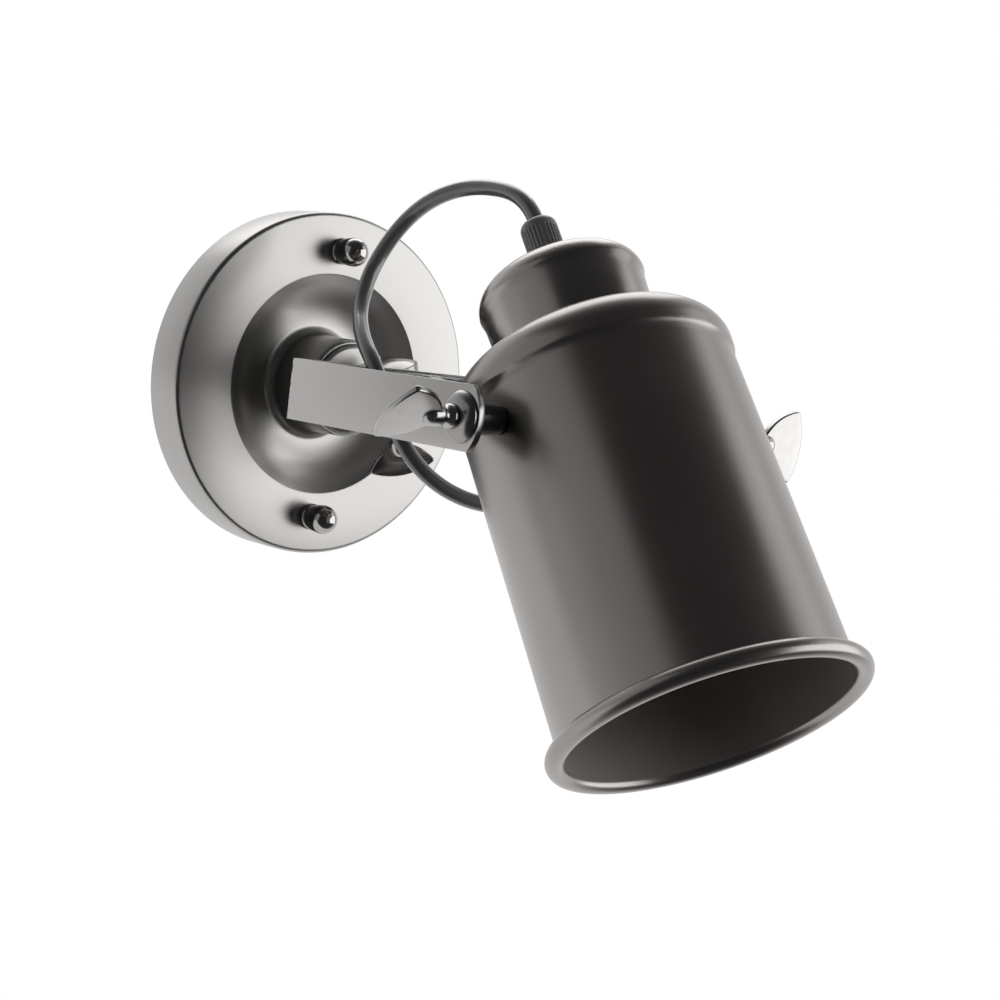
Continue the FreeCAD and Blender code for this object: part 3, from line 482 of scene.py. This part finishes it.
def cut_plate(corners, stations, place, ease, shift=None):
    """Cut an outline from thick plate, from station to station in Y, edges eased."""
    plate = pen(corners)
    sheet = bmesh.ops.contextual_create(plate, geom=plate.edges[:])["faces"]
    bmesh.ops.translate(plate, verts=plate.verts, vec=(0, stations[0], 0))
    for before, after in zip(stations, stations[1:]):
        grown = bmesh.ops.extrude_face_region(plate, geom=sheet)["geom"]
        sheet = [item for item in grown if isinstance(item, bmesh.types.BMFace)]
        ends = [item for item in grown if isinstance(item, bmesh.types.BMVert)]
        bmesh.ops.translate(plate, verts=ends, vec=(0, after - before, 0))
    if shift:
        for vertex in plate.verts:
            vertex.co = shift(vertex.co)
    bmesh.ops.recalc_face_normals(plate, faces=plate.faces)
    edges = [edge for edge in plate.edges if edge.calc_face_angle(0) > sharp_edge]
    bmesh.ops.bevel(
        plate, geom=edges, offset=ease, offset_type="OFFSET", affect="EDGES",
        segments=3, profile=0.5, material=-1, clamp_overlap=True,
    )
    bmesh.ops.transform(plate, matrix=place, verts=plate.verts)
    return plate


def round_front(spot):
    """Bend the front of the fork's ears to a half circle."""
    if spot.x < -0.9 * ear_radius:
        spot.x = -sqrt(max(ear_radius ** 2 - spot.y ** 2, 0))
    return spot


def across(half_width, step):
    """Places across a half circle, one each so many degrees round it."""
    return [half_width * sin(radians(angle)) for angle in range(-90, 91, step)]


knuckle_steel = plated(
    "knuckle_steel", light=(0.33, 0.322, 0.316), dark=(0.27, 0.264, 0.26),
    smooth=0.16, rough=0.26,
    at=(0, -knuckle_out / 1000, 0), tipped=(0, -knuckle_lean, 0),
)
fork_side = [
    (-10.0, -10.0), (13.5, -10.0), (13.5, 10.0), (-10.0, 10.0),
    (-10.0, 4.2), (10.5, 4.2), (10.5, -4.2), (-10.0, -4.2),
]
fork_place = knuckle @ Matrix.Rotation(radians(90), 4, "Z")
fork_parts = [
    cut_plate(
        fork_side, across(ear_radius, 6), fork_place, ease=0.7, shift=round_front
    ),
    turned([(0, 9.5), (9.0, 9.5), (9.0, 10.0, 0, 18.76), (0, 12.3)], knuckle, steps=96),
    turned([
        (3.0, 13.0), (6.5, 13.0), (6.5, 21.0, 0.2), (8.5, 21.0, 0.4), (8.5, 23.0, 0.2),
        (5.0, 23.0), (5.0, 31.0, 0.5), (3.0, 31.0),
    ], knuckle @ fore_and_aft, steps=72),
]
assembled(
    "knuckle_fork_milled", fork_parts, knuckle_steel, "base", ["knuckle_fork"],
)

tongue_parts = [
    turned([
        (0, -4.0), (10.0, -4.0, 0.5), (10.0, 4.0, 0.5), (0, 4.0),
    ], knuckle, steps=96),
    turned([
        (3.8, -9.0), (3.8, -11.2), (6.5, -11.2, 0.6), (6.5, -18.2, 0.2),
        (8.5, -18.2, 0.4), (8.5, -20.2), (5.0, -20.2), (5.0, -31.0), (0, -31.0),
        (0, -9.0),
    ], knuckle @ fore_and_aft, steps=72),
]
assembled(
    "knuckle_tongue_turned", tongue_parts, knuckle_steel, "bracket", ["knuckle_tongue"],
)


# Thumb screws and their cup washers
# Each screw is a turned shank with a collar, a slim neck and a round root that
# holds a pressed leaf. A domed washer lies between it and the face it clamps.

def thumb_screw(shank, seat, reach, place):
    """A thumb screw along Z, from the face that its washer lies on."""
    collar_thickness, neck_length, crown_rise, taper = 1.6, 2.2, 3.0, 0.25
    neck = seat + collar_thickness
    root = neck + neck_length
    corner = reach - crown_rise
    leaf = [
        (2.6, root + 1.6, 0, 18.0),
        (11.7, corner, 0.9, 24.0),
        (-11.7, corner, 0.9, 18.0),
        (-2.6, root + 1.6),
    ]

    def thinner(spot):
        share = min(max((spot.z - root) / (reach - root), 0.0), 1.0)
        spot.y *= 1.0 - taper * share
        return spot

    return [
        turned([
            (0, -shank), (2.5, -shank, 0.4), (2.5, seat), (3.6, seat, 0.3),
            (3.6, neck, 0.6), (2.6, neck + 1.0, 0.4), (2.6, root, 0.3),
            (3.3, root + 0.7, 0.4), (3.3, root + 3.3, 0, 3.3), (0, root + 6.6),
        ], place, steps=64),
        cut_plate(leaf, (-1.3, -0.45, 0.45, 1.3), place, ease=0.6, shift=thinner),
    ]


def cup(height, curve, crown, place):
    """A domed washer, with a bore for the screw."""
    return turned([
        (2.56, 0.0), (7.6, 0.0, 0.2), (7.6, 0.9, 0.1, curve), (crown, height, 0.3),
        (2.56, height),
    ], place, steps=96)


under_ear = (
    ear_radius * sin(knuckle_lean), -knuckle_out, -ear_radius * cos(knuckle_lean)
)
under_knuckle = (
    millimetres @ Matrix.Translation(under_ear)
    @ Matrix.Rotation(radians(180) - knuckle_lean, 4, "Y")
)
knuckle_leaf = under_knuckle @ Matrix.Rotation(radians(20), 4, "Z")
assembled(
    "knuckle_thumb_screw",
    thumb_screw(shank=18.7, seat=1.6, reach=18.0, place=knuckle_leaf), chrome,
    "knuckle_clamp", ["knuckle_screw"],
)
cup_steel = black_chrome("cup_steel", colour=(0.34, 0.333, 0.327), smooth=0.2)
assembled(
    "knuckle_cup_washer",
    [cup(height=1.6, curve=10.0, crown=3.7, place=under_knuckle)], cup_steel,
    "base", ["knuckle_cup"],
)

arm_face = 56.25
pivot_out = 167.3
shank_end = 36.0


def beside_arm(side):
    """At the outer face of an arm: -1 for the left one, 1 for the right."""
    return (
        millimetres @ Matrix.Translation((side * arm_face, -pivot_out, 0))
        @ Matrix.Rotation(side * radians(90), 4, "Y")
    )


leaf_steel = black_chrome("leaf_steel", colour=(0.44, 0.432, 0.424), smooth=0.17)
arm_shank = arm_face - shank_end
for side, word, twist in ((-1, "left", 129), (1, "right", 4)):
    leaf_place = beside_arm(side) @ Matrix.Rotation(radians(twist), 4, "Z")
    assembled(
        f"thumb_screw_{word}_pressed",
        thumb_screw(shank=arm_shank, seat=3.2, reach=26.0, place=leaf_place),
        leaf_steel, f"{word}_clamp", [f"thumb_screw_{word}"],
    )
assembled(
    "arm_cup_washers",
    [cup(height=3.2, curve=5.0, crown=3.7, place=beside_arm(side)) for side in (-1, 1)],
    cup_steel, "bracket", ["arm_cups"],
)


# Bracket
# A U bent from 19 by 2 mm steel strap with rounded ends, satin plated. The
# knuckle's stem holds it in the middle of its web.

strap_half_width = 9.5
arm_inside = 54.25
arm_end = 175.5
arm_end_radius = 13.2
web_back, web_front = 77.2, 79.2


def round_ends(spot):
    """Round the ends of both arms across the strap."""
    if spot.z > arm_end - 0.5:
        spot.z = arm_end - arm_end_radius + sqrt(arm_end_radius ** 2 - spot.y ** 2)
    return spot


strap_steel = plated(
    "strap_steel", light=(0.46, 0.452, 0.442), dark=(0.43, 0.421, 0.411),
    smooth=0.20, rough=0.26,
)
strap = cut_plate([
    (-arm_face, arm_end), (-arm_face, web_back, 3.5), (arm_face, web_back, 3.5),
    (arm_face, arm_end), (arm_inside, arm_end), (arm_inside, web_front, 1.5),
    (-arm_inside, web_front, 1.5), (-arm_inside, arm_end),
], across(strap_half_width, 9), off_wall, ease=0.3, shift=round_ends)
assembled("strap", [strap], strap_steel, "bracket", ["u_bracket"])


# Washer, nut and bush in the web
# The knuckle's stem comes through the web, where a washer and a nut lock it.
# A black nylon bush closes its end round the flex.

dressed(["web_washer", "web_nut"], zinc("web_zinc"))


def moulded(name, dark, light, rough):
    """A moulded plastic with faint patches and a fine skin."""
    plastic = Finish(name)
    patches = plastic.cloud(size=0.004)
    return plastic.surface(
        Base_Color=mixed(plastic, patches, dark, light),
        Roughness=rough - 0.05 + 0.1 * patches,
        Normal=plastic.bumps(plastic.cloud(size=0.0004, detail=2.0), depth=0.00001),
    )


black_nylon = moulded(
    "black_nylon", dark=(0.05, 0.049, 0.048), light=(0.07, 0.069, 0.068), rough=0.25
)
bush = turned([
    (0, 88.02), (5.06, 88.02), (5.06, 84.2), (6.5, 84.2), (6.5, 88.0, 0.3),
    (5.3, 89.2, 0.3), (2.8, 89.2), (0, 89.2),
], off_wall, steps=64)
assembled("web_bush", [bush], black_nylon, "bracket", ["cord_bush"])


# Flange washers, spacers and nuts of the pivots
# A bright washer lies inside each arm, and a black spacer on the shade stops a
# hair short of it. A nut inside the shade takes the thumb screw.

flanges = [
    turned([
        (2.56, -3.0), (5.6, -3.0, 0.2), (5.6, -2.0, 0.2), (2.56, -2.0),
    ], beside_arm(side))
    for side in (-1, 1)
]
assembled(
    "flange_washers", flanges, zinc("flange_zinc"), "bracket", ["arm_flanges"],
)
spacer_parts = [
    turned([
        (2.56, -13.5), (4.6, -13.5, 1.2), (4.6, -3.03, 0.25), (2.56, -3.03),
    ], beside_arm(side))
    for side in (-1, 1)
]
assembled(
    "shade_spacers", spacer_parts, black_nylon, "shade", ["spacers"]
)
dressed(["pivot_nuts"], zinc("nut_zinc"))


# Shade
# A can spun from steel. Its mouth is rolled outwards to a hollow bead and its
# shoulder is rolled in to a shallow crown. It is satin plated outside and
# lacquered inside.

shade_lean = radians(37)
on_shade = (
    millimetres @ Matrix.Translation((0, -pivot_out, 0))
    @ Matrix.Rotation(-shade_lean, 4, "X")
)
shade_axes = {"at": (0, -pivot_out / 1000, 0), "tipped": (-shade_lean, 0, 0)}
bronze = plated(
    "bronze_shade", light=(0.33, 0.312, 0.302), dark=(0.29, 0.272, 0.262),
    smooth=0.25, rough=0.31, **shade_axes,
)
can = turned([
    (43.8, -94.0), (42.62, 9.8, 1.2), (43.5, 12.0, 0.5), (43.5, 13.4, 0, 10.0),
    (34.9, 24.8, 0, 60.0), (20.2, 27.2, 0.3), (20.2, 26.0), (34.3, 23.6, 3.0),
    (42.3, 16.0, 4.0), (42.3, 12.2, 0.5), (41.42, 10.0, 1.2), (42.6, -94.0),
], on_shade, steps=224)
bead = turned([
    (48.19, -94.0, 0, 2.795), (42.6, -94.0, 0, 2.795),
], on_shade, steps=224)
shade_can = assembled(
    "shade_can", [can, bead], bronze, "shade", ["lamp_shade"]
)

lining = Finish("shade_lining", Coat_Weight=0.3, Coat_Roughness=0.2)
lining_cloud = lining.cloud(size=0.02, detail=4.0)
shade_can.data.materials.append(lining.surface(
    Base_Color=mixed(lining, lining_cloud, (0.24, 0.225, 0.217), (0.31, 0.294, 0.285)),
    Roughness=0.32 + 0.1 * lining_cloud,
    Normal=lining.bumps(lining.cloud(size=0.0008, detail=2.0), depth=0.00001),
))
lining_radius = 42.65
lining_top = 26.5
upright = on_shade.inverted()
for face in shade_can.data.polygons:
    middle = upright @ face.center
    outwards = Vector((middle.x, middle.y, 0))
    facing_in = (upright.to_3x3() @ face.normal).dot(outwards) < 0
    if middle.xy.length < lining_radius and middle.z < lining_top and facing_in:
        face.material_index = 1


# Cap
# A smaller spun cup on the crown of the shade, with a rolled edge and a shallow
# dome. It hides the lampholder and carries the cord grip.

cap = turned([
    (24.9, 27.22, 0.2), (25.7, 45.2, 1.6), (26.4, 47.8, 0, 7.5), (20.6, 54.6, 0, 90.0),
    (5.1, 56.3), (5.1, 55.3), (9.0, 55.3), (20.1, 53.6, 3.0), (24.8, 47.2, 0.4),
    (23.9, 27.22),
], on_shade, steps=160)
cap_bronze = plated(
    "bronze_cap", light=(0.36, 0.34, 0.329), dark=(0.32, 0.30, 0.289),
    smooth=0.22, rough=0.28, **shade_axes,
)
assembled("cap", [cap], cap_bronze, "shade", ["shade_cap"])


# Cord grip
# A ribbed black nylon nut with a rounded top, screwed on a hollow nipple over a
# dark metal seal washer. A rubber sleeve in it holds the flex.

seal = turned([
    (5.06, 56.3), (7.2, 56.3, 0.3), (7.2, 57.7, 0.3), (5.06, 57.7),
], on_shade, steps=72)
assembled(
    "grip_seal_washer", [seal], knuckle_steel, "shade", ["grip_seal"]
)

rib_count = 28
rib_depth = 0.06
rib_low, rib_high = 0.0597, 0.0713
rib_inside = 0.0055
grip = turned([
    (5.06, 57.7), (5.9, 57.7, 0.2), (5.9, 59.4), (5.9, 59.8), (5.9, 71.2), (5.9, 71.8),
    (5.9, 75.5, 2.6), (3.2, 75.5, 0.15), (3.2, 68.5), (5.06, 65.7),
], millimetres, steps=rib_count * 8)
for vertex in grip.verts:
    if rib_low < vertex.co.z < rib_high and vertex.co.xy.length > rib_inside:
        furrow = 0.5 - 0.5 * cos(rib_count * atan2(vertex.co.y, vertex.co.x))
        vertex.co.xy *= 1 - rib_depth * furrow ** 2
from_metres = on_shade @ millimetres.inverted()
bmesh.ops.transform(grip, matrix=from_metres, verts=grip.verts)
grip_nylon = moulded(
    "grip_nylon", dark=(0.19, 0.186, 0.182), light=(0.24, 0.235, 0.23), rough=0.25
)
assembled(
    "grip_nut_ribbed", [grip], grip_nylon, "shade", ["grip_nut"],
    crease=50,
)
sleeve = turned([
    (2.6, 68.5), (3.18, 68.5), (3.18, 75.5, 0.2), (2.6, 75.5, 0.15),
], on_shade, steps=64)
rubber = moulded(
    "grip_rubber", dark=(0.020, 0.020, 0.020), light=(0.034, 0.034, 0.034), rough=0.55
)
assembled("grip_sleeve_rubber", [sleeve], rubber, "shade", ["grip_sleeve"])
dressed(["cap_nipple", "cap_nut"], zinc("nipple_zinc"))


# Lampholder
# A moulded black resin socket inside the cap, with a brass screw shell and a
# contact. A fluted ring clamps it to the crown of the shade.

resin = moulded(
    "holder_resin", dark=(0.014, 0.014, 0.015), light=(0.024, 0.024, 0.025), rough=0.2
)
holder_body = turned([
    (13.9, 4.3, 0.3), (19.6, 4.3, 0.5), (19.6, 32.3, 0.4), (17.5, 34.4, 0.5),
    (17.5, 48.05, 1.5), (9.0, 52.3, 0.4), (5.06, 52.3), (5.06, 44.3), (0, 44.3),
    (0, 31.3), (13.9, 31.3),
], on_shade, steps=96)
assembled("holder", [holder_body], resin, "shade", ["lampholder"])

flute_count = 30
flute_inside = 0.0262
flute_depth = 0.015
ring_body = turned([
    (19.66, 17.35), (27.0, 17.35, 0.6), (27.0, 24.85, 0.6), (19.66, 24.85),
], millimetres, steps=flute_count * 8)
for vertex in ring_body.verts:
    if vertex.co.xy.length > flute_inside:
        flute = cos(flute_count * atan2(vertex.co.y, vertex.co.x))
        vertex.co.xy *= 1 - flute_depth + flute_depth * flute
bmesh.ops.transform(ring_body, matrix=from_metres, verts=ring_body.verts)
assembled(
    "holder_ring_fluted", [ring_body], resin, "shade", ["holder_ring"],
    crease=50,
)

shell_radius = 13.4
shell_curve = 2.2
shell_pitch = 3.629
shell_low = 5.3
shell_turns, shell_steps = 5, 72
shell_wave = pen([
    (shell_radius, -shell_pitch / 2, 0, shell_curve),
    (shell_radius, 0.0, 0, -shell_curve),
    (shell_radius, shell_pitch / 2),
], closed=False)
bmesh.ops.translate(
    shell_wave, verts=shell_wave.verts, vec=(0, 0, shell_low + shell_pitch / 2)
)
bmesh.ops.spin(
    shell_wave, geom=shell_wave.verts[:] + shell_wave.edges[:], cent=(0, 0, 0),
    axis=(0, 0, 1), dvec=(0, 0, shell_pitch / shell_steps), angle=tau * shell_turns,
    steps=shell_steps * shell_turns,
)
bmesh.ops.remove_doubles(shell_wave, verts=shell_wave.verts, dist=thread_weld)
bmesh.ops.recalc_face_normals(shell_wave, faces=shell_wave.faces)
bmesh.ops.solidify(shell_wave, geom=shell_wave.faces[:], thickness=0.25)
bmesh.ops.transform(shell_wave, matrix=on_shade, verts=shell_wave.verts)
assembled(
    "screw_shell_rolled", [shell_wave], brass, "shade", ["screw_shell"],
    crease=60,
)


# Room
# A plain pale floor below the lamp and behind it, and a white surround that is
# dark on the camera's side. Soft lamps: a large one on the right with a small
# one above it, one high behind on the right and a faint one on the left.

floor_half = 3.0
floor_middle = (0, 2.8, -0.5)
floor_mesh = bpy.data.meshes.new("floor")
floor_form = bmesh.new()
bmesh.ops.create_grid(floor_form, x_segments=1, y_segments=1, size=floor_half)
bmesh.ops.translate(floor_form, verts=floor_form.verts, vec=floor_middle)
floor_form.to_mesh(floor_mesh)
floor = bpy.data.objects.new("floor", floor_mesh)
bpy.context.scene.collection.objects.link(floor)
paper = Finish("floor_paper", Base_Color=(0.82, 0.82, 0.82, 1), Roughness=0.9)
to_camera = paper.node("LightPath", output="Is Camera Ray")
to_metal = paper.node("LightPath", output="Is Glossy Ray")
to_glass = paper.node("LightPath", output="Is Transmission Ray")
lit = Wire(paper, paper.shader.outputs[0])
white = paper.node("Emission", {}, {"Color": (1, 1, 1, 1), "Strength": 1.0})
shown = paper.node(
    "MixShader", {}, {0: to_camera + to_metal + to_glass, 1: lit, 2: white}
)
paper.feed(paper.tree.nodes["Material Output"].inputs["Surface"], shown)
floor_mesh.materials.append(paper.material)

bpy.context.scene.view_settings.view_transform = "Standard"
surround = bpy.data.worlds.new("surround")
bpy.context.scene.world = surround
surround.use_nodes = True


class Sky(Finish):
    """The surround, built like a finish."""

    def __init__(self, world):
        self.tree = world.node_tree
        self.shader = self.tree.nodes["Background"]


sky = Sky(surround)
facing = sky.node("TexCoord", output="Generated")
behind = Vector((0.417, 0.893, -0.174)).normalized()
lean = sky.node(
    "VectorMath", {"operation": "DOT_PRODUCT"}, {0: facing, 1: behind}, output="Value"
)
brightness = [
    (0.0, 0.035), (0.38, 0.06), (0.54, 0.26), (0.67, 0.66), (0.76, 0.86), (0.90, 0.95),
    (1.0, 1.0),
]
level = sky.node("ValToRGB", {"stops": brightness}, {"Fac": 0.5 + 0.5 * lean})
in_view = sky.node("LightPath", output="Is Camera Ray")
white_in_view = {"Factor": in_view, 6: level, 7: (1, 1, 1, 1)}
backdrop = sky.node("Mix", {"data_type": "RGBA"}, white_in_view, output=2)
sky.feed(sky.shader.inputs["Color"], backdrop)
sky.shader.inputs["Strength"].default_value = 1.0


lamp_distance = 1.9
lamps_face = Vector((0, -0.05, 0))


def soft_lamp(name, around, up, width, height, glow):
    """A soft panel lamp: degrees round from the front and up, metres, brightness."""
    data = bpy.data.lights.new(name, "AREA")
    data.shape = "RECTANGLE"
    data.size = width
    data.size_y = height
    data.energy = glow * pi * width * height
    lamp = bpy.data.objects.new(name, data)
    bpy.context.scene.collection.objects.link(lamp)
    around, up = radians(around), radians(up)
    out = Vector((sin(around) * cos(up), -cos(around) * cos(up), sin(up)))
    turn = (-out).to_track_quat("-Z", "Y").to_matrix().to_4x4()
    lamp.matrix_world = Matrix.Translation(lamps_face + lamp_distance * out) @ turn
    lamp.visible_camera = False


soft_lamp("lamp_right", around=48.5, up=4, width=2.0, height=1.5, glow=2.25)
soft_lamp("lamp_right_top", around=66, up=34, width=1.0, height=0.6, glow=0.8)
soft_lamp("lamp_behind", around=152, up=50, width=1.8, height=1.3, glow=1.6)
soft_lamp("lamp_left", around=-98, up=15, width=1.8, height=1.7, glow=0.35)
